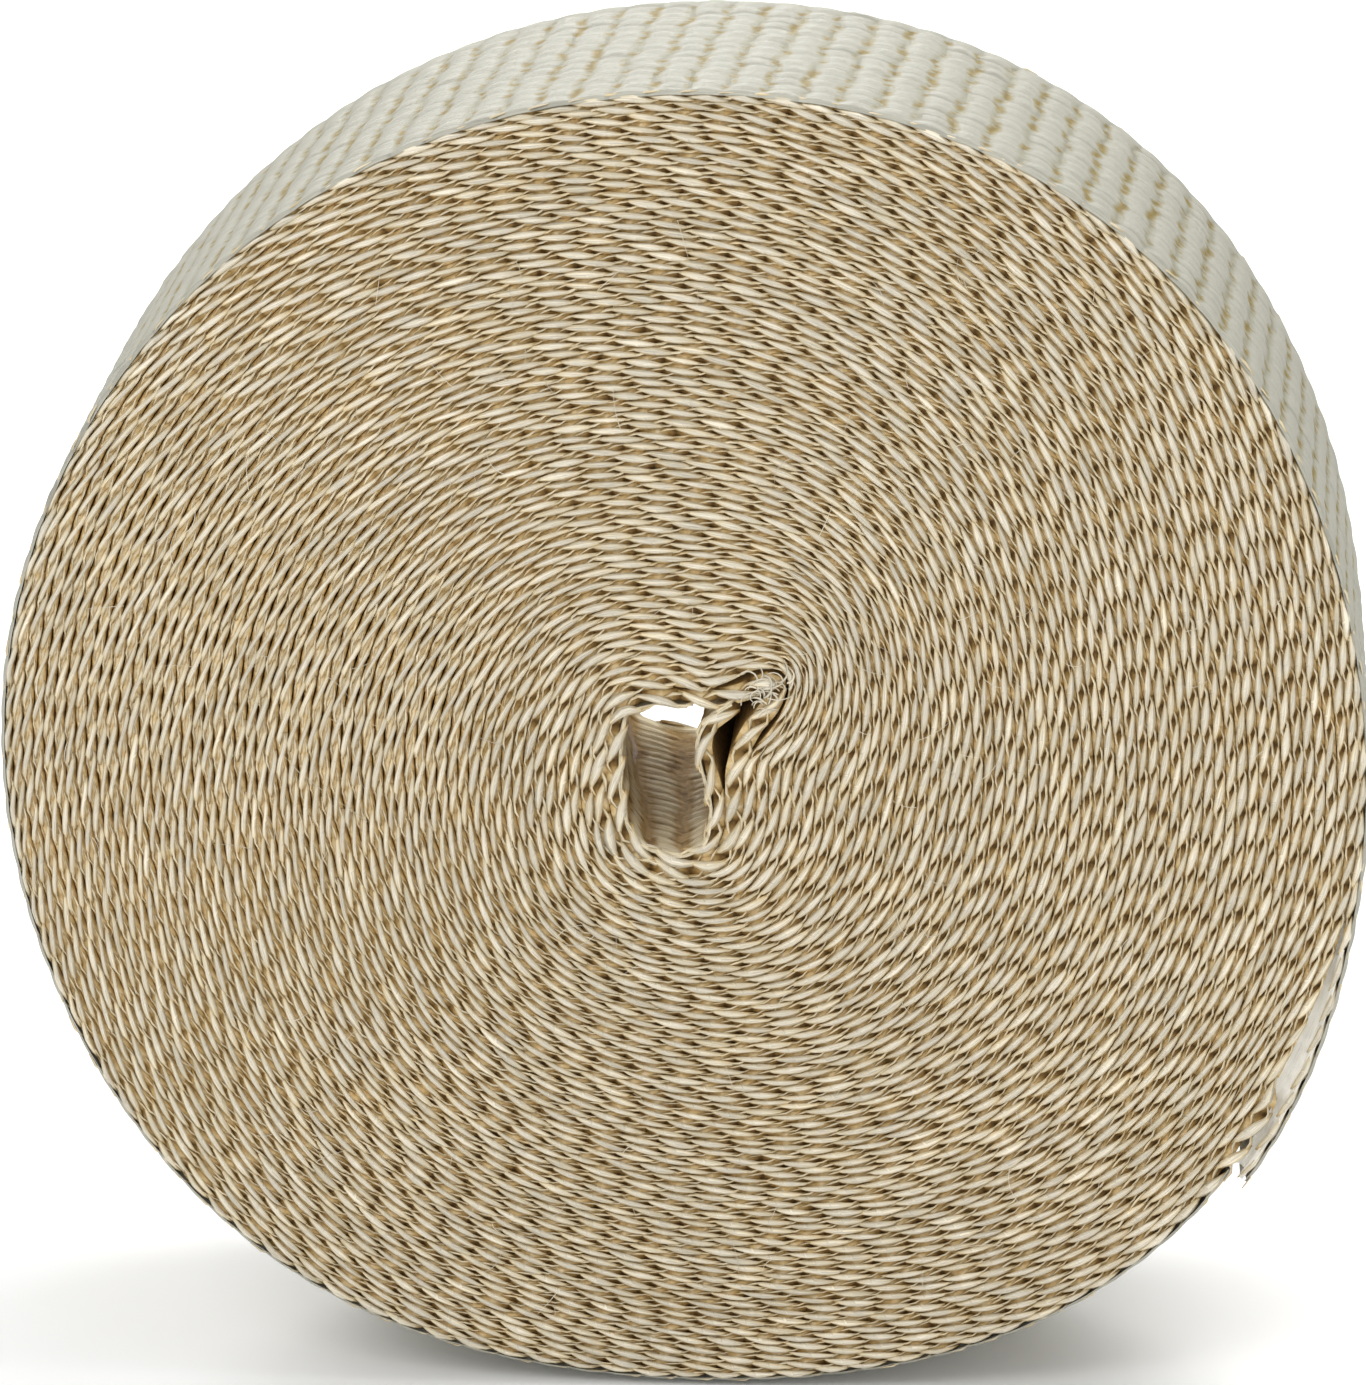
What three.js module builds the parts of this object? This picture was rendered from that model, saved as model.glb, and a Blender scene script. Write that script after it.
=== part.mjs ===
// A roll of woven glass-fibre heat wrap, the tape that is wound round exhaust pipes.
// The tape is wound on itself with no core, so the roll has an oval bore where the winding
// spindle was. The roll stands on its rim: its axis lies along Y, the seen end faces -Y, +Z is
// up, and the origin is on the floor under the middle of the roll. Units are millimetres.
//
// The wound roll is one solid. Its turns show on both ends as one spiral groove, and the two
// ends of the tape show as a step in the bore and a step in the rim.

import * as THREE from 'three';
import { mergeVertices } from 'three/addons/utils/BufferGeometryUtils.js';

// The tape.
const tapeWidth = 50.8;
const wholeTurns = 57;

// The roll's mean diameter. The turns share the room between the bore and the rim.
const rollDiameter = 155.6;

// The bore, and the looser first turns round it.
const boreWidth = 9.2;
const boreHeight = 18.2;
const boreSquareness = 3.2;       // 2 is an ellipse, more is squarer
const boreLeft = 2.2;             // from the rim's centre to the bore's centre
const boreDown = 2.9;
const looseTurns = 4;
const looseness = 0.35;           // extra room of the very first turn, as a share

// The second turn springs away from the tape's start in one sharp corner, and the turns over
// it round that corner off.
const cornerRise = 6;
const cornerHalfAngle = 42;       // degrees either side of the tape's start
const cornerFadeTurns = 14;

// The rim is a little out of round: waves of two, three and four crests round it, each with its
// height and the direction of a crest in degrees, anticlockwise from +X as seen from -Y.
const ovalHeight = 0.5;
const ovalCrest = -12;
const threeSidedHeight = 0.95;
const threeSidedCrest = 76;
const fourSidedHeight = 0.8;
const fourSidedCrest = 48.5;
const restSag = 2.9;              // how far the rest on the floor lies inside the rim's mean circle

// The groove between turns, and how finely a turn is cut into straight steps.
const grooveDepth = 0.5;
const stepsPerTurn = 24;
const restStep = 9.5;             // from the tape's start, clockwise, to the middle of the step on the floor
const tailSteps = 6;              // the tape runs this many steps past its last whole turn

const wrapColour = 0xd8cdb4;

const halfWidth = tapeWidth / 2;
const stepAngle = (2 * Math.PI) / stepsPerTurn;
const tapeSteps = wholeTurns * stepsPerTurn + tailSteps;
const rimTurn = tapeSteps / stepsPerTurn + 0.5;   // the mean of the rim's own turn
const startAngle = restStep * stepAngle - Math.PI / 2;
const rimMeanRadius = rollDiameter / 2;
const restDepth = rimMeanRadius - restSag;

// How many tight turns would fill the same radius as the first `turn` turns.
function tightTurns(turn) {
  return turn + looseness * looseTurns * (1 - Math.exp(-turn / looseTurns));
}

// Radius of the bore's outline in one direction.
function boreRadius(angle) {
  const across = Math.abs(Math.cos(angle)) / (boreWidth / 2);
  const upright = Math.abs(Math.sin(angle)) / (boreHeight / 2);
  return (across ** boreSquareness + upright ** boreSquareness) ** (-1 / boreSquareness);
}

// Radius of the rim's outline in one direction, flat where it rests on the floor.
function rimRadius(angle) {
  const wave = (count, height, crest) =>
    height * Math.cos(count * (angle - THREE.MathUtils.degToRad(crest)));
  const wavy = rimMeanRadius
    + wave(2, ovalHeight, ovalCrest)
    + wave(3, threeSidedHeight, threeSidedCrest)
    + wave(4, fourSidedHeight, fourSidedCrest);
  const down = -Math.sin(angle);
  return down > 0 ? Math.min(wavy, restDepth / down) : wavy;
}

// Outward shift of a turn at the sharp corner over the tape's start.
function cornerShift(angle, turn) {
  const away = Math.abs(Math.atan2(Math.sin(angle - startAngle), Math.cos(angle - startAngle)));
  const halfAngle = THREE.MathUtils.degToRad(cornerHalfAngle);
  const nearCorner = 1 - THREE.MathUtils.smoothstep(away, 0, halfAngle);
  const begun = THREE.MathUtils.smoothstep(turn, 1 - halfAngle / (2 * Math.PI), 1);
  return cornerRise * nearCorner * begun * Math.exp(-turn / cornerFadeTurns);
}

// The turn that sets a point's distance from the bore. The two ends of the step over the floor
// share one, so that this step lies level.
function levelTurn(step) {
  const halfTurn = stepsPerTurn / 2;
  const past = THREE.MathUtils.euclideanModulo(step - restStep + halfTurn, stepsPerTurn) - halfTurn;
  return (Math.abs(past) < 1 ? step - past : step) / stepsPerTurn;
}

// A point of the spiral line between turns, as x and z about the rim's centre. The line
// winds outwards clockwise as seen from -Y, from the bore to the rim.
function spiralPoint(step) {
  const turn = levelTurn(step);
  const angle = startAngle - step * stepAngle;
  const share = tightTurns(turn) / tightTurns(rimTurn);
  const radius = THREE.MathUtils.lerp(boreRadius(angle), rimRadius(angle), share)
    + cornerShift(angle, turn);
  const x = (share - 1) * boreLeft + radius * Math.cos(angle);
  const z = (share - 1) * boreDown + radius * Math.sin(angle);
  return new THREE.Vector2(x, z);
}

// The spiral line lies at the bottom of the groove. Where it is the edge of the bore or of
// the rim there is no groove, and it lies in the flat end plane.
function linePoint(step, side) {
  const inGroove = step > stepsPerTurn && step < tapeSteps;
  const depth = inGroove ? grooveDepth : 0;
  const point = spiralPoint(step);
  return [point.x, side * (halfWidth - depth), point.y];
}

// The crest of a turn is midway between the lines on its two faces, in the end plane.
function crestPoint(step, side) {
  const point = spiralPoint(step).lerp(spiralPoint(step + stepsPerTurn), 0.5);
  return [point.x, side * halfWidth, point.y];
}

// The skin is collected as triangles, each anticlockwise as seen from outside.
const skin = [];

function addQuad(a, b, c, d) {
  skin.push(...a, ...b, ...c, ...a, ...c, ...d);
}

// One end of the roll. Each step of tape is two slopes, up to its crest and down from it.
function addEnd(side) {
  const addSlope = (a, b, c, d) => (side < 0 ? addQuad(a, b, c, d) : addQuad(d, c, b, a));
  for (let step = 0; step < tapeSteps; step += 1) {
    const outer = step + stepsPerTurn;
    const crest = crestPoint(step, side);
    const nextCrest = crestPoint(step + 1, side);
    addSlope(linePoint(step, side), linePoint(step + 1, side), nextCrest, crest);
    addSlope(crest, nextCrest, linePoint(outer + 1, side), linePoint(outer, side));
  }
}

// The bore's wall faces the axis, and the rim faces out.
function addBoreAndRim() {
  for (let step = 0; step < stepsPerTurn; step += 1) {
    const rim = tapeSteps + step;
    addQuad(linePoint(step, 1), linePoint(step + 1, 1), linePoint(step + 1, -1), linePoint(step, -1));
    addQuad(linePoint(rim, -1), linePoint(rim + 1, -1), linePoint(rim + 1, 1), linePoint(rim, 1));
  }
}

// A cut end of the tape, across its thickness. The start faces back and the tail forward.
function addTapeEnd(step, facesBack) {
  const addHalf = (a, b, c, d) => (facesBack ? addQuad(a, b, c, d) : addQuad(d, c, b, a));
  const outer = step + stepsPerTurn;
  addHalf(linePoint(step, -1), crestPoint(step, -1), crestPoint(step, 1), linePoint(step, 1));
  addHalf(crestPoint(step, -1), linePoint(outer, -1), linePoint(outer, 1), crestPoint(step, 1));
}

addEnd(-1);
addEnd(1);
addBoreAndRim();
addTapeEnd(0, true);
addTapeEnd(tapeSteps, false);

const geometry = new THREE.BufferGeometry();
geometry.setAttribute('position', new THREE.Float32BufferAttribute(skin, 3));
geometry.computeBoundingBox();
const { min, max } = geometry.boundingBox;
geometry.translate(-(min.x + max.x) / 2, 0, -min.z);

const woundWrap = new THREE.Mesh(
  mergeVertices(geometry),
  new THREE.MeshStandardMaterial({ color: wrapColour, roughness: 0.95, flatShading: true }),
);
woundWrap.name = 'wound_wrap';

const roll = new THREE.Group();
roll.name = 'exhaust_heat_wrap';
roll.add(woundWrap);

export default roll;
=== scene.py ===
import math

import bmesh
import bpy
import numpy as np
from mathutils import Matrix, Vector


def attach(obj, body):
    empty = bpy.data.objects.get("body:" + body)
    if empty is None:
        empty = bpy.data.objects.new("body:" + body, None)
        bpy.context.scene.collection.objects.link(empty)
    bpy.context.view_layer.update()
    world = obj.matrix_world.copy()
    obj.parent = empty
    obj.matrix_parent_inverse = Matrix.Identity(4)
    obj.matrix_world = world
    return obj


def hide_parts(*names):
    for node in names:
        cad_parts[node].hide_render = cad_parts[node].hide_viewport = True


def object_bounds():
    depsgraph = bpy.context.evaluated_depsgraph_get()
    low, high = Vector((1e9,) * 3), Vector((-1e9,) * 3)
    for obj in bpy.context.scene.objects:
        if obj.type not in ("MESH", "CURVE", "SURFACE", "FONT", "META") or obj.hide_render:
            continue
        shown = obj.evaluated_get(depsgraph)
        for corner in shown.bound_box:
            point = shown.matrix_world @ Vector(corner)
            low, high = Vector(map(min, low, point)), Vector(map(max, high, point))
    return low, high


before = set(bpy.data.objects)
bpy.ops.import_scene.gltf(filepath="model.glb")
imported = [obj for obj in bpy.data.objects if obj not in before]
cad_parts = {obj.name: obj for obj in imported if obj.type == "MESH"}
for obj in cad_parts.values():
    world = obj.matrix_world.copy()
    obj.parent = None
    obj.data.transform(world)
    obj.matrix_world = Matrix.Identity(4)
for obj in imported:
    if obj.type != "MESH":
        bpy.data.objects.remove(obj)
cad_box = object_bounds()

# A roll of woven glass-fibre heat wrap, dressed yarn by yarn. The tape is worked out as one long
# path, wound clockwise from the bore out to the rim, and every piece is laid along it.
# Sizes are in millimetres until a mesh is made. The roll's axis runs along Y, its seen end faces
# -Y, and angles turn anticlockwise from +X as seen from that end.
MM = 0.001
rng = np.random.default_rng(57)

# The tape and its weave. Its width is the length of the CAD roll along the axis.
TAPE_WIDTH = round((cad_box[1][1] - cad_box[0][1]) / MM, 2)
HALF_WIDTH = TAPE_WIDTH / 2
TAPE_TURNS = 57 + 6 / 24
RIM_TURN = TAPE_TURNS + 0.5      # the mean of the rim's own turn
PICK = 4.2                       # from one weft yarn to the next along the tape
WARP_PAIRS = 15                  # pairs of warp yarns across the width

# The roll's shape, from the bore out to the rim.
AXIS = (0.085, 75.33)            # the middle of the rim, across and up
BORE_OFFSET = (2.1, 2.9)         # from there to the middle of the bore, left and down
BORE_OUTLINE = (                 # direction in degrees and radius about the middle of the bore
    (-9, 4.6), (-38, 6.1), (-58, 8.0), (-81, 7.9), (-105, 7.3), (-125, 7.0), (-151, 5.3), (-183, 4.4),
    (-213, 5.4), (-228, 7.2), (-241, 8.3), (-261, 8.4), (-282, 8.5), (-305, 8.2), (-330, 5.4),
)
BORE_SMOOTHING = (-8, -4, 0, 4, 8)   # degrees over which that outline's corners are evened out
LOOSE_TURNS = 4                  # the first turns take more room than the rest
LOOSENESS = 0.35                 # extra room of the very first turn, as a share
START_ANGLE = math.radians(52.5)
CORNER_ANGLE = math.radians(43)  # the sharp corner of the second turn, over the tape's start
CORNER_RISE = 9.6
CORNER_HALF = 24                 # degrees to either side of it
CORNER_WIDENING = 2.6            # and so many more with each turn over it
CORNER_WIDENING_TURNS = 12
CORNER_FADE = 14                 # turns over which the corner rounds off
START_GAP = 0.6                  # the second turn stands this far off the tape's start
START_GAP_ANGLE = math.radians(-15)
START_GAP_HALF = math.radians(80)
START_GAP_FADE = 9
RIM_MEAN = 77.59                 # mean radius of the rim, and its waves: crests, cosine and sine parts
RIM_WAVES = ((2, 0.47, -0.22), (3, -0.65, -0.71), (4, -0.76, -0.19), (5, -0.13, 0.19), (6, 0.14, -0.04))
# The middle of the first turn, from the tape's start: it comes in past the sharp corner that the
# second turn makes over it, goes once round the bore and makes that corner. About the rim's middle.
FIRST_TURN = (
    (5.4, 6.3), (3.8, 5.2), (2.4, 3.8), (1.8, 1.7), (2.1, -0.5), (3.0, -3.7), (3.3, -7.1), (2.3, -10.4),
    (-0.7, -11.9), (-4.3, -11.1), (-6.6, -9.2), (-7.6, -5.9), (-8.0, -2.6), (-7.9, 0.8), (-7.8, 3.5),
    (-6.7, 5.9), (-3.7, 6.9), (0.0, 6.9), (3.3, 7.1), (6.6, 8.0), (9.4, 9.3), (10.3, 8.6), (9.4, 6.2),
    (7.2, 3.2), (5.6, -0.8), (5.4, -4.8),
)
FIRST_THICK = 2.4                # the room that the first turn takes
JOIN_TURN = 1.26                 # the turn at which those points meet the wound line
TAIL_LIFT = 0.8                  # the end of the tape stands this far off the turn under it
TAIL_LOOSE = 34                  # over this length
TAIL_DENT = 1.4                  # and the turns under it lie this much further in
TAIL_DENT_ANGLE = math.radians(-29)
TAIL_DENT_HALF = math.radians(20)
TAIL_DENT_TURNS = 7              # the dent begins so many turns under the tail
TAIL_THICK = 1.25                # most room that the last turn takes over the dent
TAIL_RUN = 70                    # length of the last turn that lies over the dent
FAR_END_ROOM = 5.0               # the bore is this much wider to the left at its far end
FAR_END_REACH = 16               # and the turns beside it give way over about this distance

# The fine path along the tape.
PATH_STEPS = 240                 # steps in a turn
GUIDE_STEP = 13                  # the first turn's curve runs on through every 13th step
GUIDES = 4
FIRST_TURN_PARTS = 24            # steps between two of the first turn's points

# Where the pull of winding has drawn the yarns thin: on the left of the roll, away from the bore.
PULL = 0.7
PULL_ANGLE = math.pi - 0.15
PULL_HALF = 1.3
PULL_FROM = 14
PULL_FADE = 16

# Lengths of the woven faces that show, and of the folded corner.
BORE_FACE_LENGTH = 52.0
LINING_LENGTH = 30
FOLD_LENGTH = 46
EDGE_MARGIN = 0.05               # a woven face ends this far inside the tape's edge
FACE_LIFT = 0.06                 # and lies this far over the turn's own side
MOST_HALF_THICK = 0.8            # where a turn has more room, its face lies this far from its middle

# The fibres that have come off are rooted this far from the tape's start and from its end.
FIBRES_FROM = 300
FIBRES_END = 2400
FIBRE_SUNK = 0.15                # their roots lie this deep in the end face


def smooth_step(x):
    """A soft rise from 0 to 1 while x goes from 0 to 1."""
    x = np.clip(x, 0, 1)
    return x * x * (3 - 2 * x)


def near_to(angle, middle, half):
    """1 at the middle angle, 0 from `half` away on both sides of it."""
    away = np.abs(np.arctan2(np.sin(angle - middle), np.cos(angle - middle)))
    return 1 - smooth_step(away / half)


def tight_turns(turn):
    """How many tight turns would fill the same room as the first `turn` turns."""
    return turn + LOOSENESS * LOOSE_TURNS * (1 - np.exp(-turn / LOOSE_TURNS))


def rim_radius(angle):
    """Radius of the rim's outline in each direction."""
    radius = np.full_like(angle, RIM_MEAN)
    for count, cosine, sine in RIM_WAVES:
        radius += cosine * np.cos(count * angle) + sine * np.sin(count * angle)
    return radius


def bore_radius(angle):
    """Radius of the bore's outline in each direction, about the bore's middle."""
    degrees = np.degrees(angle) % 360
    corners = sorted((direction % 360, radius) for direction, radius in BORE_OUTLINE)
    total = np.zeros_like(degrees)
    for shift in BORE_SMOOTHING:
        total += np.interp(degrees + shift, *zip(*corners), period=360)
    return total / len(BORE_SMOOTHING)


def wound_line(turn):
    """Points of the line between turns, across and up, for a count of turns from the tape's start."""
    turn = np.asarray(turn, float)
    angle = START_ANGLE - 2 * np.pi * turn
    share = tight_turns(turn) / tight_turns(RIM_TURN)
    # The corner and the gap start with the second turn.
    begun = smooth_step((turn - 0.9) / 0.1)
    corner_half = np.radians(CORNER_HALF + CORNER_WIDENING * np.clip(turn, 0, CORNER_WIDENING_TURNS))
    corner = CORNER_RISE * near_to(angle, CORNER_ANGLE, corner_half)
    corner = corner * begun * np.exp(-turn / CORNER_FADE)
    gap = START_GAP * near_to(angle, START_GAP_ANGLE, START_GAP_HALF)
    gap = gap * begun * np.exp(-turn / START_GAP_FADE)
    radius = bore_radius(angle) * (1 - share) + rim_radius(angle) * share + corner + gap
    into_dent = (turn - TAPE_TURNS + TAIL_DENT_TURNS) / (TAIL_DENT_TURNS - 1)
    under_tail = smooth_step(into_dent) * (turn < TAPE_TURNS - 0.02)
    radius -= TAIL_DENT * near_to(angle, TAIL_DENT_ANGLE, TAIL_DENT_HALF) * under_tail
    return np.stack([
        AXIS[0] + (share - 1) * BORE_OFFSET[0] + radius * np.cos(angle),
        AXIS[1] + (share - 1) * BORE_OFFSET[1] + radius * np.sin(angle),
    ], axis=-1)


def smooth_curve(points, parts):
    """A curve through all points, with `parts` steps between each two."""
    points = np.asarray(points, float)
    padded = np.concatenate([[2 * points[0] - points[1]], points, [2 * points[-1] - points[-2]]])
    step = (np.arange(parts) / parts)[:, None]
    curve = []
    for before, start, end, after in zip(padded, padded[1:], padded[2:], padded[3:]):
        curve.append(0.5 * (2 * start + (end - before) * step
                            + (2 * before - 5 * start + 4 * end - after) * step ** 2
                            + (3 * start - before - 3 * end + after) * step ** 3))
    return np.concatenate(curve + [points[-1:]])


# The middle of the tape, edge on, as a fine path with its length, outward side and thickness.
path_turn = np.linspace(JOIN_TURN, TAPE_TURNS, int(TAPE_TURNS * PATH_STEPS))
inner_line = wound_line(path_turn)
outer_line = wound_line(path_turn + 1)
path_mid = (inner_line + outer_line) / 2
last_guide = (GUIDES - 1) * GUIDE_STEP
guides = path_mid[:last_guide + 1:GUIDE_STEP]
first_turn = smooth_curve(np.concatenate([np.array(FIRST_TURN) + AXIS, guides]), FIRST_TURN_PARTS)
join = len(first_turn) - 1
path_mid = np.concatenate([first_turn[:-1], path_mid[last_guide:]])
path_along = np.gradient(path_mid, axis=0)
path_along /= np.linalg.norm(path_along, axis=1, keepdims=True)
path_out = np.stack([-path_along[:, 1], path_along[:, 0]], axis=-1)
room = np.abs(np.sum((outer_line - inner_line)[last_guide:] * path_out[join:], axis=1))
path_thick = np.concatenate([np.full(join, FIRST_THICK), room])
path_thick[join:join + PATH_STEPS] += (FIRST_THICK - room[0]) * np.linspace(1, 0, PATH_STEPS) ** 2
path_length = np.concatenate([[0], np.cumsum(np.linalg.norm(np.diff(path_mid, axis=0), axis=1))])
TAPE_LENGTH = path_length[-1]
# Over the dent the last turn keeps its thickness and its place in the rim.
over_dent = smooth_step((path_length - TAPE_LENGTH + TAIL_RUN) / 20)
spare = np.clip(path_thick - TAIL_THICK, 0, None) * over_dent
path_mid += path_out * (spare / 2)[:, None]
path_thick -= spare
# The tail stands off the turn under it.
tail_share = 1 - (TAPE_LENGTH - path_length) / TAIL_LOOSE
path_mid += path_out * (TAIL_LIFT * smooth_step(tail_share))[:, None]
# The length along the tape at which its last turn begins.
LAST_TURN = float(np.interp(TAPE_TURNS - 1.0, path_turn[last_guide:], path_length[join:]))


def on_path(length):
    """Middle, outward side and thickness of the tape at lengths along it."""
    def read(values):
        return np.interp(length, path_length, values)
    middle = np.stack([read(path_mid[:, 0]), read(path_mid[:, 1])], axis=-1)
    out = np.stack([read(path_out[:, 0]), read(path_out[:, 1])], axis=-1)
    out /= np.linalg.norm(out, axis=-1, keepdims=True)
    return middle, out, read(path_thick)


def widen_far_end(points):
    """Moves what lies left of the bore a little further left towards the far end."""
    across = points[:, 0] - AXIS[0] + BORE_OFFSET[0]
    up = points[:, 2] - AXIS[1] + BORE_OFFSET[1]
    left_of_bore = smooth_step((1 - across) / 5)
    near_bore = np.exp(-np.hypot(across, up * 0.7) / FAR_END_REACH) * left_of_bore
    deep = smooth_step((points[:, 1] + HALF_WIDTH) / TAPE_WIDTH)
    points = points.copy()
    points[:, 0] -= FAR_END_ROOM * near_bore * deep
    return points


def set_values(mesh, values):
    """Named values of a piece, one for each point."""
    for key, value in values.items():
        attribute = mesh.attributes.new(key, "FLOAT", "POINT")
        attribute.data.foreach_set("value", np.asarray(value, np.float32))


def mesh_piece(name, points, faces, uv=None, **values):
    """A piece from arrays: points in millimetres, faces with equal numbers of corners, one uv for
    each point, and named point values."""
    mesh = bpy.data.meshes.new(name)
    faces = np.asarray(faces, np.int32)
    corners = faces.ravel()
    mesh.vertices.add(len(points))
    points = widen_far_end(np.asarray(points, float))
    mesh.vertices.foreach_set("co", (points * MM).astype(np.float32).ravel())
    mesh.loops.add(len(corners))
    mesh.loops.foreach_set("vertex_index", corners)
    mesh.polygons.add(len(faces))
    mesh.polygons.foreach_set("loop_start", np.arange(len(faces), dtype=np.int32) * faces.shape[1])
    mesh.polygons.foreach_set("use_smooth", np.ones(len(faces), bool))
    mesh.update(calc_edges=True)
    if uv is not None:
        layer = mesh.uv_layers.new(name="yarn")
        layer.uv.foreach_set("vector", np.asarray(uv, np.float32)[corners].ravel())
    set_values(mesh, values)
    mesh.validate()
    piece = bpy.data.objects.new(name, mesh)
    bpy.context.collection.objects.link(piece)
    return piece


def model_stitch(sides, cuts):
    """One yarn as it shows at the tape's edge, two long, pointed at both ends, one round."""
    bpy.ops.object.select_all(action="DESELECT")
    bpy.ops.mesh.primitive_cylinder_add(vertices=sides, radius=1, depth=2, end_fill_type="TRIFAN",
                                        rotation=(0, math.pi / 2, 0))
    bpy.ops.object.transform_apply(location=True, rotation=True, scale=True)
    stitch = bpy.context.object
    bpy.ops.object.mode_set(mode="EDIT")
    mesh = bmesh.from_edit_mesh(stitch.data)
    for edge in mesh.edges:
        ends = [corner.co.x for corner in edge.verts]
        edge.select_set(abs(ends[0] - ends[1]) > 1)
    bmesh.update_edit_mesh(stitch.data)
    bpy.ops.mesh.subdivide(number_cuts=cuts)
    bpy.ops.mesh.select_all(action="SELECT")
    bpy.ops.mesh.quads_convert_to_tris(quad_method="BEAUTY", ngon_method="BEAUTY")
    bpy.ops.mesh.normals_make_consistent(inside=False)
    bpy.ops.object.mode_set(mode="OBJECT")
    points = np.array([corner.co[:] for corner in stitch.data.vertices])
    faces = np.array([face.vertices[:] for face in stitch.data.polygons])
    bpy.data.objects.remove(stitch, do_unlink=True)
    return points, faces


def yarn_run(name, side, where, model, run_length, shape):
    """Copies of one modelled stitch along an edge of the tape, each bent to its own shape."""
    model_points, model_faces = model
    count = len(where)
    along = model_points[:, 0]
    ring = np.arctan2(model_points[:, 2], model_points[:, 1])
    is_ring = np.hypot(model_points[:, 1], model_points[:, 2]) > 0.5

    def each(low, high):
        return rng.uniform(low, high, (count, 1))

    length = where[:, None] + along[None] * each(0.86, 1.1) * run_length / 2
    overrun = length - np.clip(length, 0, TAPE_LENGTH)
    middle, out, thick = on_path(length - overrun)
    forward = np.stack([out[..., 1], -out[..., 0]], axis=-1)
    swing, half_out, half_deep, rise = shape(where, along, thick, each)
    across = swing + np.where(is_ring, np.cos(ring), 0)[None] * half_out
    height = rise + np.where(is_ring, np.sin(ring), 0)[None] * half_deep
    flat = middle + out * across[..., None] + forward * overrun[..., None]
    points = np.stack([flat[..., 0], side * (HALF_WIDTH + height), flat[..., 1]], axis=-1)
    faces = model_faces[None] + (np.arange(count) * len(model_points))[:, None, None]
    faces = faces.reshape(-1, 3)
    if side > 0:
        faces = faces[:, ::-1]
    uv = np.stack([
        np.broadcast_to(along * 0.5 + 0.5, length.shape),
        np.broadcast_to(ring / (2 * np.pi) + 0.5, length.shape),
    ], axis=-1)
    tone = np.broadcast_to(each(0, 1), length.shape)
    return mesh_piece(name, points.reshape(-1, 3), faces, uv.reshape(-1, 2), tone=tone.ravel())


def pulled_thin(middle):
    """How far the yarns are drawn thin where they cross, most on the left of the roll."""
    angle = np.arctan2(middle[..., 1] - AXIS[1], middle[..., 0] - AXIS[0])
    from_axis = np.hypot(middle[..., 0] - AXIS[0], middle[..., 1] - AXIS[1])
    return PULL * near_to(angle, PULL_ANGLE, PULL_HALF) * smooth_step((from_axis - PULL_FROM) / PULL_FADE)


def crossing_shape(where, along, thick, each):
    """The upper yarn of each pick, from the outer side of the tape across to its inner side.

    Swing and half width are shares of the turn's room; depth and rise are in millimetres. Each is
    given from the yarn's middle to its tip, crossed first and then drawn thin.
    """
    def profile(*values):
        return np.interp(np.abs(along), (0, 0.15, 0.43, 0.72, 1), values)[None]

    thin = np.clip(pulled_thin(on_path(where)[0])[:, None] + each(-0.25, 0.25), 0, 1)

    def blend(crossed, pulled):
        return crossed * (1 - thin) + pulled * thin

    # On the last turn the yarns keep inside the woven face of the rim.
    last = smooth_step((where - LAST_TURN) / 8)[:, None]
    swing = blend(profile(0.0, 0.05, 0.18, 0.32, 0.42), profile(0.0, 0.1, 0.25, 0.33, 0.3))
    swing = -np.sign(along) * swing * thick * each(0.8, 1.15)
    swing = np.where(swing > 0, swing * (1 - 0.75 * last), swing) - 0.18 * last
    swing = swing + each(-0.1, 0.1)
    half_out = blend(profile(0.36, 0.35, 0.3, 0.18, 0.05), profile(0.2, 0.2, 0.2, 0.28, 0.2))
    half_out = half_out * np.minimum(thick, 1.8) * each(0.8, 1.15)
    half_deep = blend(profile(0.42, 0.4, 0.3, 0.2, 0.08), profile(0.3, 0.3, 0.24, 0.16, 0.1))
    half_deep = half_deep * each(0.85, 1.15)
    rise = blend(profile(-0.16, -0.17, -0.25, -0.42, -0.95), profile(-0.1, -0.12, -0.2, -0.34, -0.62))
    return swing, half_out, half_deep, rise + each(-0.16, 0.1)


def flank_shape(where, along, thick, each):
    """The lower yarn of each pick, which crosses under the upper one and shows beside the gaps.
    Its values are given as the upper yarn's are."""
    def profile(*values):
        return np.interp(np.abs(along), (0, 0.5, 0.75, 1), values)[None]

    swing = np.sign(along) * profile(0.0, 0.34, 0.43, 0.36) * thick * each(0.8, 1.12)
    swing = swing + each(-0.08, 0.08)
    half_out = profile(0.1, 0.12, 0.12, 0.07) * np.minimum(thick, 1.9) * each(0.7, 1.4)
    half_deep = profile(0.12, 0.16, 0.16, 0.08) * each(0.8, 1.2)
    rise = profile(-0.8, -0.4, -0.3, -0.55) + each(-0.15, 0.12)
    return swing, half_out, half_deep, rise


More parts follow.
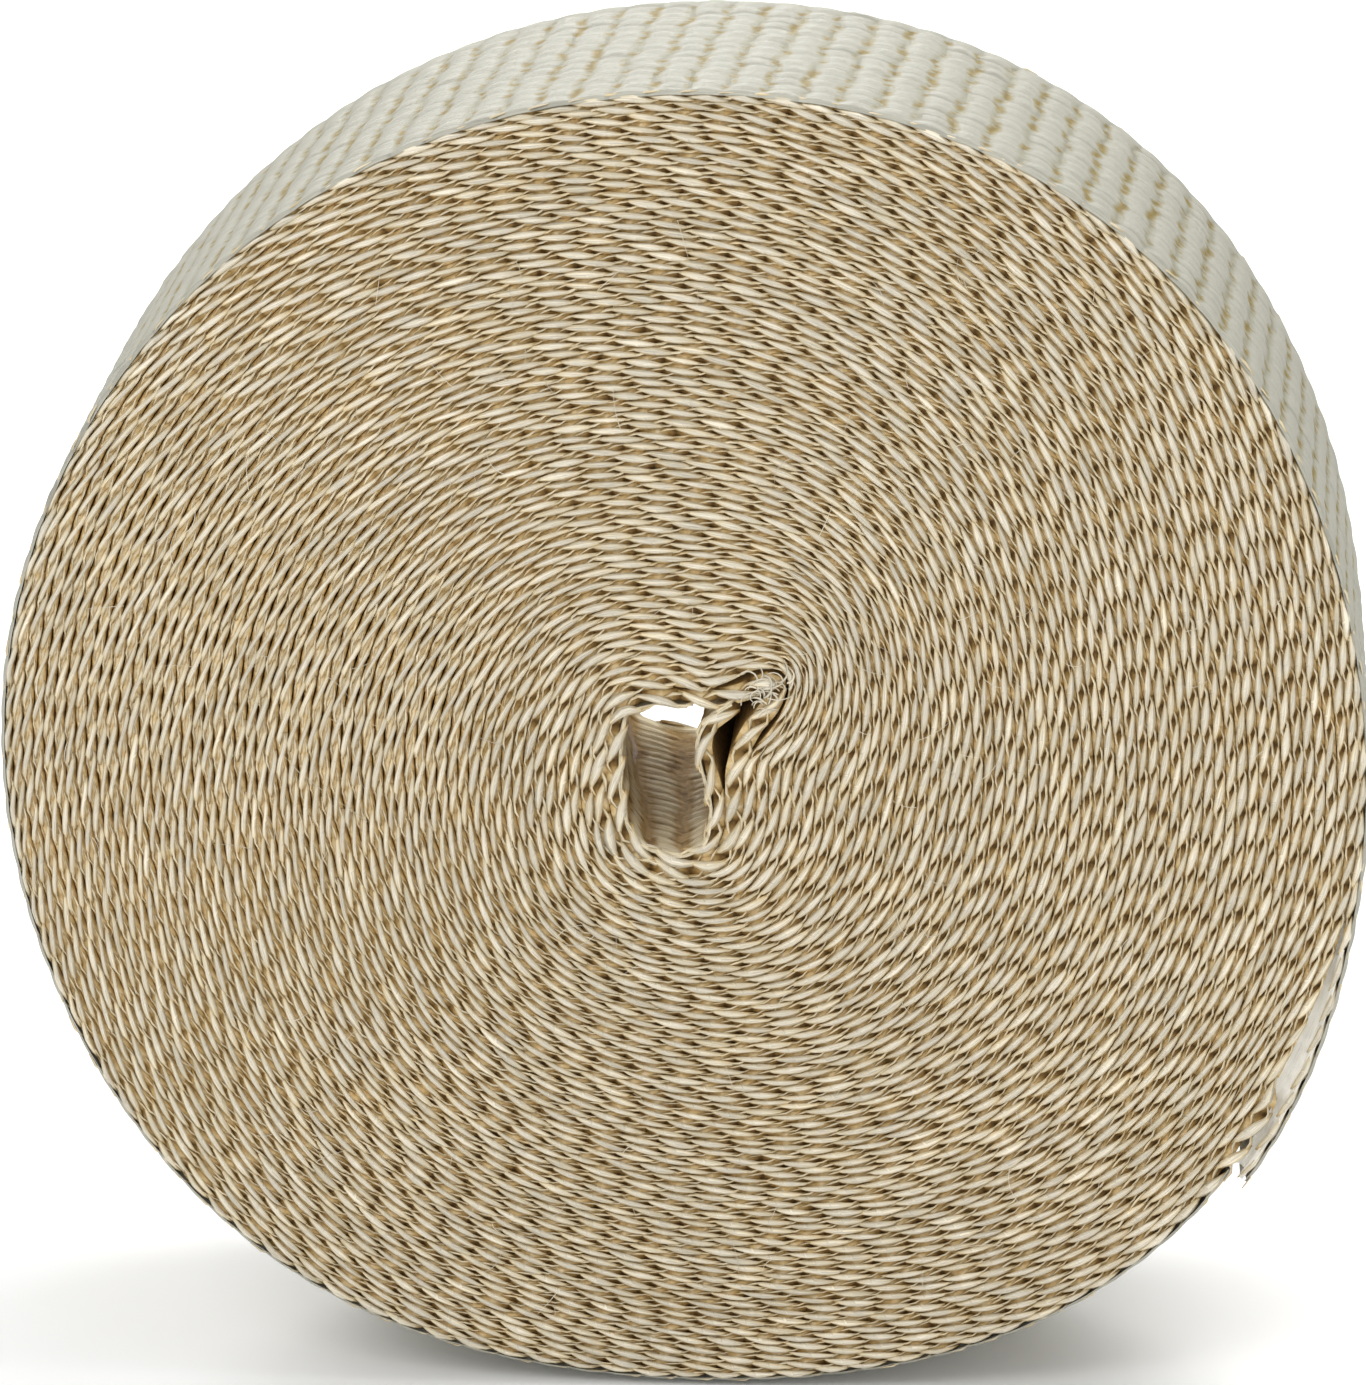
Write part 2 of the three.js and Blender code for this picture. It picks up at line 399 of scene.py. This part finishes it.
def wound_tape(place):
    """The tape under its yarns, one closed ribbon, sunk between picks on both of its edges."""
    per_pick = 4
    inner_skin, outer_skin = 0.1, 0.02   # shares left on the sides that a woven face covers
    knots = np.concatenate([[0], (place[1:] + place[:-1]) / 2, [TAPE_LENGTH]])
    length = (knots[:-1, None] + np.diff(knots)[:, None] * np.arange(per_pick) / per_pick).ravel()
    length = np.append(length, TAPE_LENGTH)
    middle, out, thick = on_path(length)
    phase = np.append(np.tile(np.arange(per_pick) / per_pick, len(knots) - 1), 0)
    pulled = pulled_thin(middle)
    between = 0.5 + 0.5 * np.cos(2 * np.pi * phase)
    # How deep the ribbon's edge lies under the end face, in its middle and on its two sides.
    crest = 0.58 + 0.95 * between ** 1.4 * (1 - pulled) - 0.22 * pulled
    beside = 0.78 + 0.75 * between ** 2 * (1 - pulled) + (1.0 * (1 - between) ** 1.2 - 0.3) * pulled
    # It stays clear of the woven faces that show in the bore and on the rim.
    core = thick * 0.85 + np.minimum(thick, 1.3) * 0.15
    reach = 0.48 - 0.1 * (1 - between) * pulled
    faced_inside = (length < BORE_FACE_LENGTH + PICK) | (length > TAPE_LENGTH - LINING_LENGTH - 1)
    half_in = (core * np.where(faced_inside, inner_skin, reach))[:, None]
    half_out = (core * np.where(length > LAST_TURN - 6, outer_skin, reach))[:, None]
    inner, outer = middle - out * half_in, middle + out * half_out
    rings = []
    for flat, depth in ((inner, beside), (middle, crest), (outer, beside)):
        rings.append(np.stack([flat[:, 0], -(HALF_WIDTH - depth), flat[:, 1]], axis=-1))
    rings += [ring * (1, -1, 1) for ring in rings[::-1]]
    points = np.stack(rings, axis=1)
    count, around = points.shape[:2]
    start = (np.arange(count - 1) * around)[:, None]
    side = np.arange(around)[None]
    following = (side + 1) % around
    quads = np.stack([
        start + side, start + around + side, start + around + following, start + following,
    ], axis=-1).reshape(-1, 4)
    ends = []
    for base, turned in ((0, False), ((count - 1) * around, True)):
        for corners in ((0, 1, 4, 5), (1, 2, 3, 4)):
            face = [base + corner for corner in corners]
            ends.append(face[::-1] if turned else face)
    return mesh_piece("wound_tape", points.reshape(-1, 3), np.concatenate([quads, ends]))


def woven_relief(pick_at, width_at, picks, pairs, rib_height, yarn_height):
    """Height of the woven face at places along and across it, its valleys and each float's seed.

    Every pick is a rib, 3 degrees off square. Each float of warp yarn covers one pick, and the
    next pick's floats lie half a pair further on.
    """
    to_edge = HALF_WIDTH - np.abs(width_at)
    at_edge = smooth_step(to_edge / 3.5 + 0.25)
    skewed = pick_at - math.tan(math.radians(3)) * (width_at + HALF_WIDTH) / PICK
    skewed = skewed + 0.05 * np.sin(width_at * 0.7) + 0.04 * np.sin(pick_at * 1.7 + width_at * 0.3)
    pick_number = np.floor(skewed).astype(int)
    in_pick = (skewed - pick_number - 0.5) * 2
    pair = (width_at / TAPE_WIDTH + 0.5) * pairs + 0.5 * (pick_number % 2)
    pair = pair + 0.12 * np.sin(pick_number * 2.4)
    pair_number = np.floor(pair).astype(int)
    in_pair = (pair - pair_number - 0.5) * 2
    rib = (0.5 + 0.5 * np.cos(np.pi * in_pick)) ** 0.6
    yarn = np.sqrt(np.clip(1 - 0.9 * in_pair ** 2, 0, 1))
    seeds = np.random.default_rng(3).uniform(-1, 1, (picks + 6, pairs + 6))
    seed = seeds[(pick_number + 3) % seeds.shape[0], (pair_number + 2) % seeds.shape[1]]
    relief = rib_height * (rib - 1) + yarn_height * (yarn - 1) * rib + 0.05 * seed * rib
    relief = relief * at_edge - 0.5 * np.exp(-(to_edge / 0.35) ** 2)
    valley = (1 - rib * (0.6 + 0.4 * yarn)) * smooth_step(to_edge / 3.5)
    return relief, valley, seed


def woven_face(name, start, end, outward, picks, pairs, heights, grid):
    """The woven face of the tape over a length of it: floats of warp yarn that cover every pick."""
    columns, rows = grid
    bpy.ops.object.select_all(action="DESELECT")
    bpy.ops.mesh.primitive_grid_add(x_subdivisions=columns, y_subdivisions=rows, size=2)
    piece = bpy.context.object
    piece.name = name
    piece.data.name = name
    mesh = piece.data
    flat = np.empty(len(mesh.vertices) * 3, np.float32)
    mesh.vertices.foreach_get("co", flat)
    flat = flat.reshape(-1, 3).astype(float)
    pick_at = (flat[:, 0] + 1) / 2 * picks
    # The rows of the grid lie a little closer at the tape's two edges.
    edge_at = np.sign(flat[:, 1]) * (1 - (1 - np.abs(flat[:, 1])) ** 1.12)
    width_at = edge_at * (HALF_WIDTH - EDGE_MARGIN)
    relief, valley, seed = woven_relief(pick_at, width_at, picks, pairs, *heights)
    middle, out, thick = on_path(start + (end - start) * pick_at / picks)
    away = np.minimum(thick * 0.5, MOST_HALF_THICK) + FACE_LIFT + relief
    line = middle + out * (outward * away)[:, None]
    points = widen_far_end(np.stack([line[:, 0], width_at, line[:, 1]], axis=-1)) * MM
    mesh.vertices.foreach_set("co", points.astype(np.float32).ravel())
    corners = np.empty(len(mesh.loops), np.int32)
    mesh.loops.foreach_get("vertex_index", corners)
    while mesh.uv_layers:
        mesh.uv_layers.remove(mesh.uv_layers[0])
    uv = np.stack([pick_at, width_at / PICK], axis=-1)
    layer = mesh.uv_layers.new(name="yarn")
    layer.uv.foreach_set("vector", uv.astype(np.float32)[corners].ravel())
    set_values(mesh, {"valley": valley, "tone": seed * 0.5 + 0.5})
    mesh.polygons.foreach_set("use_smooth", np.ones(len(mesh.polygons), bool))
    if outward > 0:
        mesh.flip_normals()
    mesh.update()
    return piece


def folded_corner(name, start, end):
    """The tail's corner, folded in: a strip that closes the gap under the tail, with the pale lining
    finish as painted light in that shaded gap.
    """
    columns, rows = 48, 6
    tucked = 0.3                  # each side runs in behind the edge by this share of the turn's room
    length = np.linspace(start, end, columns)
    middle, out, thick = on_path(length)
    under, under_out, under_thick = on_path(length - (TAPE_LENGTH - LAST_TURN))
    across = np.linspace(0, 1, rows)[None, :, None]
    upper = (middle - out * (thick * tucked)[:, None])[:, None]
    lower = (under + under_out * (under_thick * tucked)[:, None])[:, None]
    flat = upper * (1 - across) + lower * across
    ripple = 0.25 * np.sin(length * 1.9)[:, None] + 0.12 * np.sin(length * 5.3)[:, None]
    depth = 0.9 + 0.7 * np.sin(np.pi * across[:, :, 0]) + ripple
    points = np.stack([flat[..., 0], -(HALF_WIDTH - depth), flat[..., 1]], axis=-1).reshape(-1, 3)
    corner = (np.arange(columns - 1)[:, None] * rows + np.arange(rows - 1)[None]).ravel()
    quads = np.stack([corner, corner + 1, corner + rows + 1, corner + rows], axis=-1)
    uv = np.stack([np.repeat(length / PICK, rows), np.tile(np.arange(rows) * 0.2, columns)], axis=-1)
    valley = 0.1 + 0.3 * np.abs(across[0, :, 0] - 0.5) * 2
    tone = np.full(len(points), 0.8)
    return mesh_piece(name, points, quads, uv, valley=np.tile(valley, columns), tone=tone)


def loose_fibre():
    """Root, heading, bend, length and half thickness of a fibre that has come off the end's edge."""
    root = on_path(rng.uniform(FIBRES_FROM, TAPE_LENGTH - FIBRES_END))[0]
    return (root, rng.uniform(0, 2 * np.pi), rng.uniform(-1.6, 1.6), rng.uniform(1.5, 5.0),
            rng.uniform(0.035, 0.06))


def frayed_fibre():
    """The same for a curled fibre in the bundle beside the tape's frayed start."""
    root = np.array(AXIS) + (rng.uniform(7.5, 11.5), rng.uniform(5.0, 9.5))
    return (root, rng.uniform(-0.4, 2.6), rng.uniform(0.6, 3.6), rng.uniform(1.4, 3.6),
            rng.uniform(0.08, 0.24))


def fibre_piece(name, count, fibre):
    """Fine broken glass fibres that stand off the ends of the roll, two in three off the near one."""
    steps = 6
    points, quads, tones = [], [], []
    for number in range(count):
        side = -1 if number % 3 else 1
        at, heading, bend, reach, thick = fibre()
        lift = rng.uniform(0.1, 0.6)
        base = len(points)
        for step in range(steps + 1):
            part = step / steps
            angle = heading + bend * part
            at = at + np.array([math.cos(angle), math.sin(angle)]) * reach / steps
            height = HALF_WIDTH - FIBRE_SUNK + lift * math.sin(math.pi * part)
            across = np.array([-math.sin(angle), math.cos(angle)])
            width = thick * (1 - 0.6 * part)
            for turn in range(3):
                around = 2 * math.pi * turn / 3
                spot = at + across * width * math.cos(around)
                points.append((spot[0], side * (height + width * math.sin(around)), spot[1]))
                tones.append(number % 5 / 5)
            if step < steps:
                for turn in range(3):
                    low = base + step * 3
                    face = [low + turn, low + (turn + 1) % 3, low + 3 + (turn + 1) % 3, low + 3 + turn]
                    quads.append(face if side < 0 else face[::-1])
    return mesh_piece(name, points, quads, tone=tones)


def new_material(name):
    material = bpy.data.materials.new(name)
    material.use_nodes = True
    tree = material.node_tree
    shader = next(node for node in tree.nodes if node.type == "BSDF_PRINCIPLED")
    return material, tree, shader


def add_node(tree, kind, links=None, **settings):
    node = tree.nodes.new(kind)
    for key, value in settings.items():
        setattr(node, key, value)
    for socket, source in (links or {}).items():
        if isinstance(source, bpy.types.NodeSocket):
            tree.links.new(source, node.inputs[socket])
        else:
            node.inputs[socket].default_value = source
    return node


def math_node(tree, operation, first, second=0.0, third=0.0, clamp=False):
    return add_node(tree, "ShaderNodeMath", {0: first, 1: second, 2: third}, operation=operation,
                    use_clamp=clamp).outputs[0]


def ramp_node(tree, factor, stops):
    node = add_node(tree, "ShaderNodeValToRGB", {"Fac": factor})
    ramp = node.color_ramp
    while len(ramp.elements) > 1:
        ramp.elements.remove(ramp.elements[0])
    (position, colour), *others = stops
    ramp.elements[0].position = position
    ramp.elements[0].color = (*colour, 1)
    for position, colour in others:
        element = ramp.elements.new(position)
        element.color = (*colour, 1)
    return node.outputs["Color"]


def mix_colour(tree, factor, first, second, blend="MIX"):
    node = tree.nodes.new("ShaderNodeMix")
    node.data_type = "RGBA"
    node.blend_type = blend
    for socket, source in zip((node.inputs[0], node.inputs[6], node.inputs[7]), (factor, first, second)):
        if isinstance(source, bpy.types.NodeSocket):
            tree.links.new(source, socket)
        else:
            socket.default_value = source if socket == node.inputs[0] else (*source, 1)
    return node.outputs[2]


def filament_group():
    """Fine filaments that run along a yarn, and soft unevenness across several yarns."""
    seed_spread, strand_share = 37.0, 0.3
    tree = bpy.data.node_groups.new("yarn filaments", "ShaderNodeTree")
    for name, kind in (("Yarn", "NodeSocketVector"), ("Seed", "NodeSocketFloat"),
                       ("Lengthwise", "NodeSocketFloat"), ("Crosswise", "NodeSocketFloat")):
        tree.interface.new_socket(name, in_out="INPUT", socket_type=kind)
    for name in ("Filaments", "Strands"):
        tree.interface.new_socket(name, in_out="OUTPUT", socket_type="NodeSocketFloat")
    inside = tree.nodes.new("NodeGroupInput")
    outside = tree.nodes.new("NodeGroupOutput")
    parts = add_node(tree, "ShaderNodeSeparateXYZ", {0: inside.outputs["Yarn"]})
    shifted = math_node(tree, "MULTIPLY", inside.outputs["Seed"], seed_spread)
    along = math_node(tree, "MULTIPLY", parts.outputs["X"], inside.outputs["Lengthwise"])
    across = math_node(tree, "MULTIPLY", parts.outputs["Y"], inside.outputs["Crosswise"])
    place = add_node(tree, "ShaderNodeCombineXYZ", {0: along, 1: across, 2: shifted})
    fine = add_node(tree, "ShaderNodeTexNoise", {
        "Vector": place.outputs[0], "Scale": 1.0, "Detail": 3.0, "Roughness": 0.6})
    strand_across = math_node(tree, "MULTIPLY", across, strand_share)
    strand_place = add_node(tree, "ShaderNodeCombineXYZ", {0: along, 1: strand_across, 2: shifted})
    strands = add_node(tree, "ShaderNodeTexNoise", {
        "Vector": strand_place.outputs[0], "Scale": 1.0, "Detail": 1.0, "Roughness": 0.5})
    tree.links.new(fine.outputs["Fac"], outside.inputs["Filaments"])
    tree.links.new(strands.outputs["Fac"], outside.inputs["Strands"])
    return tree


FILAMENTS = filament_group()


def place_filaments(tree, vector, seed, lengthwise, crosswise):
    """The filament group in a material, with its own fineness along and across the yarn."""
    group = tree.nodes.new("ShaderNodeGroup")
    group.node_tree = FILAMENTS
    tree.links.new(vector, group.inputs["Yarn"])
    tree.links.new(seed, group.inputs["Seed"])
    group.inputs["Lengthwise"].default_value = lengthwise
    group.inputs["Crosswise"].default_value = crosswise
    return group.outputs


def edge_yarn_material():
    """Cream glass yarn at the tape's edge, painted tan to dark brown the deeper it goes down between its
    neighbours: partly the yarn's own tan, partly painted shade.
    """
    material, tree, shader = new_material("edge_yarn_painted_shade")
    coordinates = tree.nodes.new("ShaderNodeTexCoord")
    tone = add_node(tree, "ShaderNodeAttribute", attribute_name="tone").outputs["Fac"]
    yarn = place_filaments(tree, coordinates.outputs["UV"], tone, 1.4, 13.0)
    place = add_node(tree, "ShaderNodeSeparateXYZ", {0: coordinates.outputs["Object"]})
    reach = math_node(tree, "ABSOLUTE", place.outputs["Y"])
    height = add_node(tree, "ShaderNodeMapRange", {
        "Value": reach, "From Min": (HALF_WIDTH - 1.15) * MM, "From Max": (HALF_WIDTH + 0.12) * MM,
    }).outputs[0]
    uneven = math_node(tree, "MULTIPLY_ADD", yarn["Strands"], 0.5, third=-0.25)
    height = math_node(tree, "ADD", height, uneven, clamp=True)
    # Colour by depth under the end face: the golden tan is partly the yarn's own colour, the darkening
    # towards brown deep down is painted shade.
    colour = ramp_node(tree, height, (
        (0.0, (0.44, 0.26, 0.07)), (0.3, (0.70, 0.49, 0.20)), (0.5, (0.82, 0.66, 0.40)),
        (0.72, (0.84, 0.73, 0.51)), (1.0, (0.84, 0.77, 0.62)),
    ))
    line = add_node(tree, "ShaderNodeMapRange", {
        "Value": yarn["Filaments"], "From Min": 0.35, "From Max": 0.65, "To Min": 0.66, "To Max": 1.08,
    }).outputs[0]
    colour = mix_colour(tree, 1.0, colour, line, "MULTIPLY")
    cast = add_node(tree, "ShaderNodeMapRange", {
        "Value": tone, "To Min": 0.86, "To Max": 1.08}).outputs[0]
    colour = mix_colour(tree, 1.0, colour, cast, "MULTIPLY")
    tree.links.new(colour, shader.inputs["Base Color"])
    bump = add_node(tree, "ShaderNodeBump", {
        "Height": yarn["Filaments"], "Strength": 0.55, "Distance": 0.00012})
    tree.links.new(bump.outputs["Normal"], shader.inputs["Normal"])
    shader.inputs["Roughness"].default_value = 0.52
    shader.inputs["Specular IOR Level"].default_value = 0.4
    return material


def woven_face_material(name, crest, valley_shade, speck, speck_from, line, low=(0.45, 0.9), gloss=0.3):
    """The woven face: pale yarn on the crests, painted shade darkening the valleys between picks, and tan
    specks where the yarns go down between two picks.
    """
    material, tree, shader = new_material(name)
    coordinates = tree.nodes.new("ShaderNodeTexCoord")
    tone = add_node(tree, "ShaderNodeAttribute", attribute_name="tone").outputs["Fac"]
    valley = add_node(tree, "ShaderNodeAttribute", attribute_name="valley").outputs["Fac"]
    filaments = place_filaments(tree, coordinates.outputs["UV"], tone, 1.2, 34.0)["Filaments"]
    blotch = add_node(tree, "ShaderNodeTexNoise", {
        "Vector": coordinates.outputs["Object"], "Scale": 420.0, "Detail": 3.0}).outputs["Fac"]
    sunken = add_node(tree, "ShaderNodeMapRange", {
        "Value": valley, "From Min": low[0], "From Max": low[1]}).outputs[0]
    spot = add_node(tree, "ShaderNodeMapRange", {
        "Value": blotch, "From Min": speck_from, "From Max": speck_from + 0.1}).outputs[0]
    stain = math_node(tree, "MULTIPLY", sunken, spot, clamp=True)
    # The valleys take the darker colour as painted shade.
    base = ramp_node(tree, sunken, ((0.0, crest), (1.0, valley_shade)))
    colour = mix_colour(tree, stain, base, speck)
    lines = add_node(tree, "ShaderNodeMapRange", {
        "Value": filaments, "From Min": 0.3, "From Max": 0.7, "To Min": line, "To Max": 1.05}).outputs[0]
    colour = mix_colour(tree, 1.0, colour, lines, "MULTIPLY")
    tree.links.new(colour, shader.inputs["Base Color"])
    bump = add_node(tree, "ShaderNodeBump", {"Height": filaments, "Strength": 0.7, "Distance": 0.0003})
    tree.links.new(bump.outputs["Normal"], shader.inputs["Normal"])
    shader.inputs["Roughness"].default_value = 0.75
    shader.inputs["Specular IOR Level"].default_value = gloss
    return material


def painted_shade_tape_material():
    """The tape between the edge yarns: tan near the end face, its own colour, and painted shade that
    turns it brown deep between two picks.
    """
    material, tree, shader = new_material("tan_tape_painted_shade")
    coordinates = tree.nodes.new("ShaderNodeTexCoord")
    noise = add_node(tree, "ShaderNodeTexNoise", {
        "Vector": coordinates.outputs["Object"], "Scale": 1500.0, "Detail": 3.0}).outputs["Fac"]
    place = add_node(tree, "ShaderNodeSeparateXYZ", {0: coordinates.outputs["Object"]})
    reach = math_node(tree, "ABSOLUTE", place.outputs["Y"])
    height = add_node(tree, "ShaderNodeMapRange", {
        "Value": reach, "From Min": (HALF_WIDTH - 1.5) * MM, "From Max": (HALF_WIDTH - 0.35) * MM,
    }).outputs[0]
    uneven = math_node(tree, "MULTIPLY_ADD", noise, 0.6, third=-0.3)
    height = math_node(tree, "ADD", height, uneven, clamp=True)
    # Depth ramp: the brown deep down is painted shade, the tan near the end face is the tape's own
    # colour.
    colour = ramp_node(tree, height, (
        (0.0, (0.16, 0.085, 0.02)), (0.3, (0.42, 0.26, 0.08)), (0.6, (0.70, 0.51, 0.24)),
        (0.85, (0.82, 0.71, 0.50)), (1.0, (0.80, 0.74, 0.60)),
    ))
    tree.links.new(colour, shader.inputs["Base Color"])
    bump = add_node(tree, "ShaderNodeBump", {"Height": noise, "Strength": 0.8, "Distance": 0.0003})
    tree.links.new(bump.outputs["Normal"], shader.inputs["Normal"])
    shader.inputs["Roughness"].default_value = 0.8
    return material


# The places of the picks along the tape. The yarns of each end are two pieces, split at a share of
# the picks that keeps both under the limit on triangles.
pick_count = int(TAPE_LENGTH / PICK)
pick_places = (np.arange(pick_count) + 0.5) * TAPE_LENGTH / pick_count
pick_places = pick_places + rng.uniform(-0.3, 0.3, pick_count)
split = int(pick_count * 0.6)
rim_picks = round((TAPE_LENGTH - LAST_TURN) / PICK)

# The pieces of the roll.
pieces = [wound_tape(pick_places)]
crossing_yarn = model_stitch(sides=4, cuts=5)
flank_yarn = model_stitch(sides=3, cuts=3)
for end, side in (("near", -1), ("far", 1)):
    for part, run in (("inner", pick_places[:split]), ("outer", pick_places[split:])):
        pieces.append(yarn_run(f"{end}_{part}_yarns", side, run, crossing_yarn, 1.32 * PICK,
                               crossing_shape))
    pieces.append(yarn_run(f"{end}_flank_yarns", side, pick_places, flank_yarn, 1.5 * PICK,
                           flank_shape))
pieces.append(woven_face("rim_face", LAST_TURN, TAPE_LENGTH, outward=1, picks=rim_picks,
                         pairs=WARP_PAIRS, heights=(0.42, 0.36), grid=(rim_picks * 8, 60)))
pieces.append(woven_face("tail_lining", TAPE_LENGTH - LINING_LENGTH, TAPE_LENGTH, outward=-1, picks=7,
                         pairs=WARP_PAIRS, heights=(0.2, 0.1), grid=(28, 60)))
pieces.append(folded_corner("folded_corner", TAPE_LENGTH - FOLD_LENGTH, TAPE_LENGTH - 1))
pieces.append(woven_face("bore_face", 0.0, BORE_FACE_LENGTH, outward=-1, picks=12,
                         pairs=22, heights=(0.5, 0.5), grid=(110, 132)))
pieces.append(fibre_piece("loose_fibres", 260, loose_fibre))
pieces.append(fibre_piece("frayed_fibres", 46, frayed_fibre))

# Their finishes. All pieces but these are of the yarn at the tape's edge.
edge_yarn_painted_shade = edge_yarn_material()
rim_yarn = woven_face_material(
    "rim_yarn", crest=(0.50, 0.49, 0.41), valley_shade=(0.42, 0.40, 0.30), speck=(0.33, 0.24, 0.06),
    speck_from=0.48, line=0.8)
# The lining is painted much paler than the rim's face of the same tape: painted light in the gap under
# the tail, where the real face lies in shade.
lining_yarn_painted_light = woven_face_material(
    "lining_yarn_painted_light", crest=(0.93, 0.91, 0.83), valley_shade=(0.80, 0.77, 0.66), speck=(0.6, 0.5, 0.3),
    speck_from=0.6, line=0.9)
# The bore's face is painted golden brown as the shade inside the bore, with darker brown painted shade in
# its valleys.
bore_yarn_painted_shade = woven_face_material(
    "bore_yarn_painted_shade", crest=(1.0, 0.88, 0.62), valley_shade=(0.62, 0.42, 0.18), speck=(0.34, 0.20, 0.06),
    speck_from=0.55, line=0.5, low=(0.1, 0.6), gloss=0.03)
finishes = {
    "wound_tape": painted_shade_tape_material(), "rim_face": rim_yarn, "bore_face": bore_yarn_painted_shade,
    "tail_lining": lining_yarn_painted_light, "folded_corner": lining_yarn_painted_light,
}
for piece in pieces:
    piece.data.materials.clear()
    piece.data.materials.append(finishes.get(piece.name, edge_yarn_painted_shade))
    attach(piece, "root")
    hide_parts("wound_wrap")

# The floor, just under the roll. From here on, places are in metres.
FLOOR_SIZE = 12
FLOOR_GAP = 0.0002
bpy.ops.object.select_all(action="DESELECT")
bpy.ops.mesh.primitive_plane_add(size=FLOOR_SIZE, location=(0, 0, -FLOOR_GAP))
floor = bpy.context.object
floor.name = "pale_floor"
floor_material, _, floor_shader = new_material("pale_floor")
floor_shader.inputs["Base Color"].default_value = (0.93, 0.93, 0.93, 1)
floor_shader.inputs["Roughness"].default_value = 0.9
floor.data.materials.append(floor_material)


def facing(direction):
    """The turn that makes a light or the camera look in a direction."""
    return Vector(direction).to_track_quat("-Z", "Y").to_euler()


def soft_light(name, place, size, power):
    """A square soft light that looks at the middle of the roll."""
    data = bpy.data.lights.new(name, "AREA")
    data.size = size
    data.energy = power
    light = bpy.data.objects.new(name, data)
    bpy.context.collection.objects.link(light)
    light.location = place
    light.rotation_euler = facing(np.array((0, 0, 0.075)) - np.array(place))


# The studio's light.
world = bpy.data.worlds.new("studio")
bpy.context.scene.world = world
world.use_nodes = True
background = world.node_tree.nodes["Background"]
background.inputs["Color"].default_value = (1, 1, 1, 1)
background.inputs["Strength"].default_value = 0.62
soft_light("key", (-0.55, -0.9, 1.0), size=0.6, power=4.6)
soft_light("front", (0.05, -1.5, 0.32), size=0.7, power=4.4)
soft_light("back", (-0.12, 1.3, 0.42), size=0.4, power=13.0)
soft_light("top", (0.4, 0.3, 1.3), size=1.0, power=9)

# The camera at the photo's view. It looks a little left of and above the rim's middle.
CAMERA_AZIMUTH = math.radians(3.59)
CAMERA_ELEVATION = math.radians(16.26)
CAMERA_DISTANCE = 0.9698
CAMERA_AIM = (AXIS[0] - 1.94, 0, AXIS[1] + 0.59)
SENSOR_HEIGHT = 36
FOCAL_PIXELS = 8360
PHOTO_PIXELS_HIGH = 1385
view = np.array([
    -math.sin(CAMERA_AZIMUTH) * math.cos(CAMERA_ELEVATION),
    math.cos(CAMERA_AZIMUTH) * math.cos(CAMERA_ELEVATION),
    -math.sin(CAMERA_ELEVATION),
])
camera_data = bpy.data.cameras.new("camera")
camera_data.sensor_fit = "VERTICAL"
camera_data.sensor_height = SENSOR_HEIGHT
camera_data.lens = SENSOR_HEIGHT * FOCAL_PIXELS / PHOTO_PIXELS_HIGH
camera_data.clip_start = 0.01
camera_data.clip_end = 50
camera = bpy.data.objects.new("camera", camera_data)
bpy.context.collection.objects.link(camera)
camera.location = np.array(CAMERA_AIM) * MM - view * CAMERA_DISTANCE
camera.rotation_euler = facing(view)
bpy.context.scene.camera = camera
bpy.context.scene.view_settings.view_transform = "Standard"
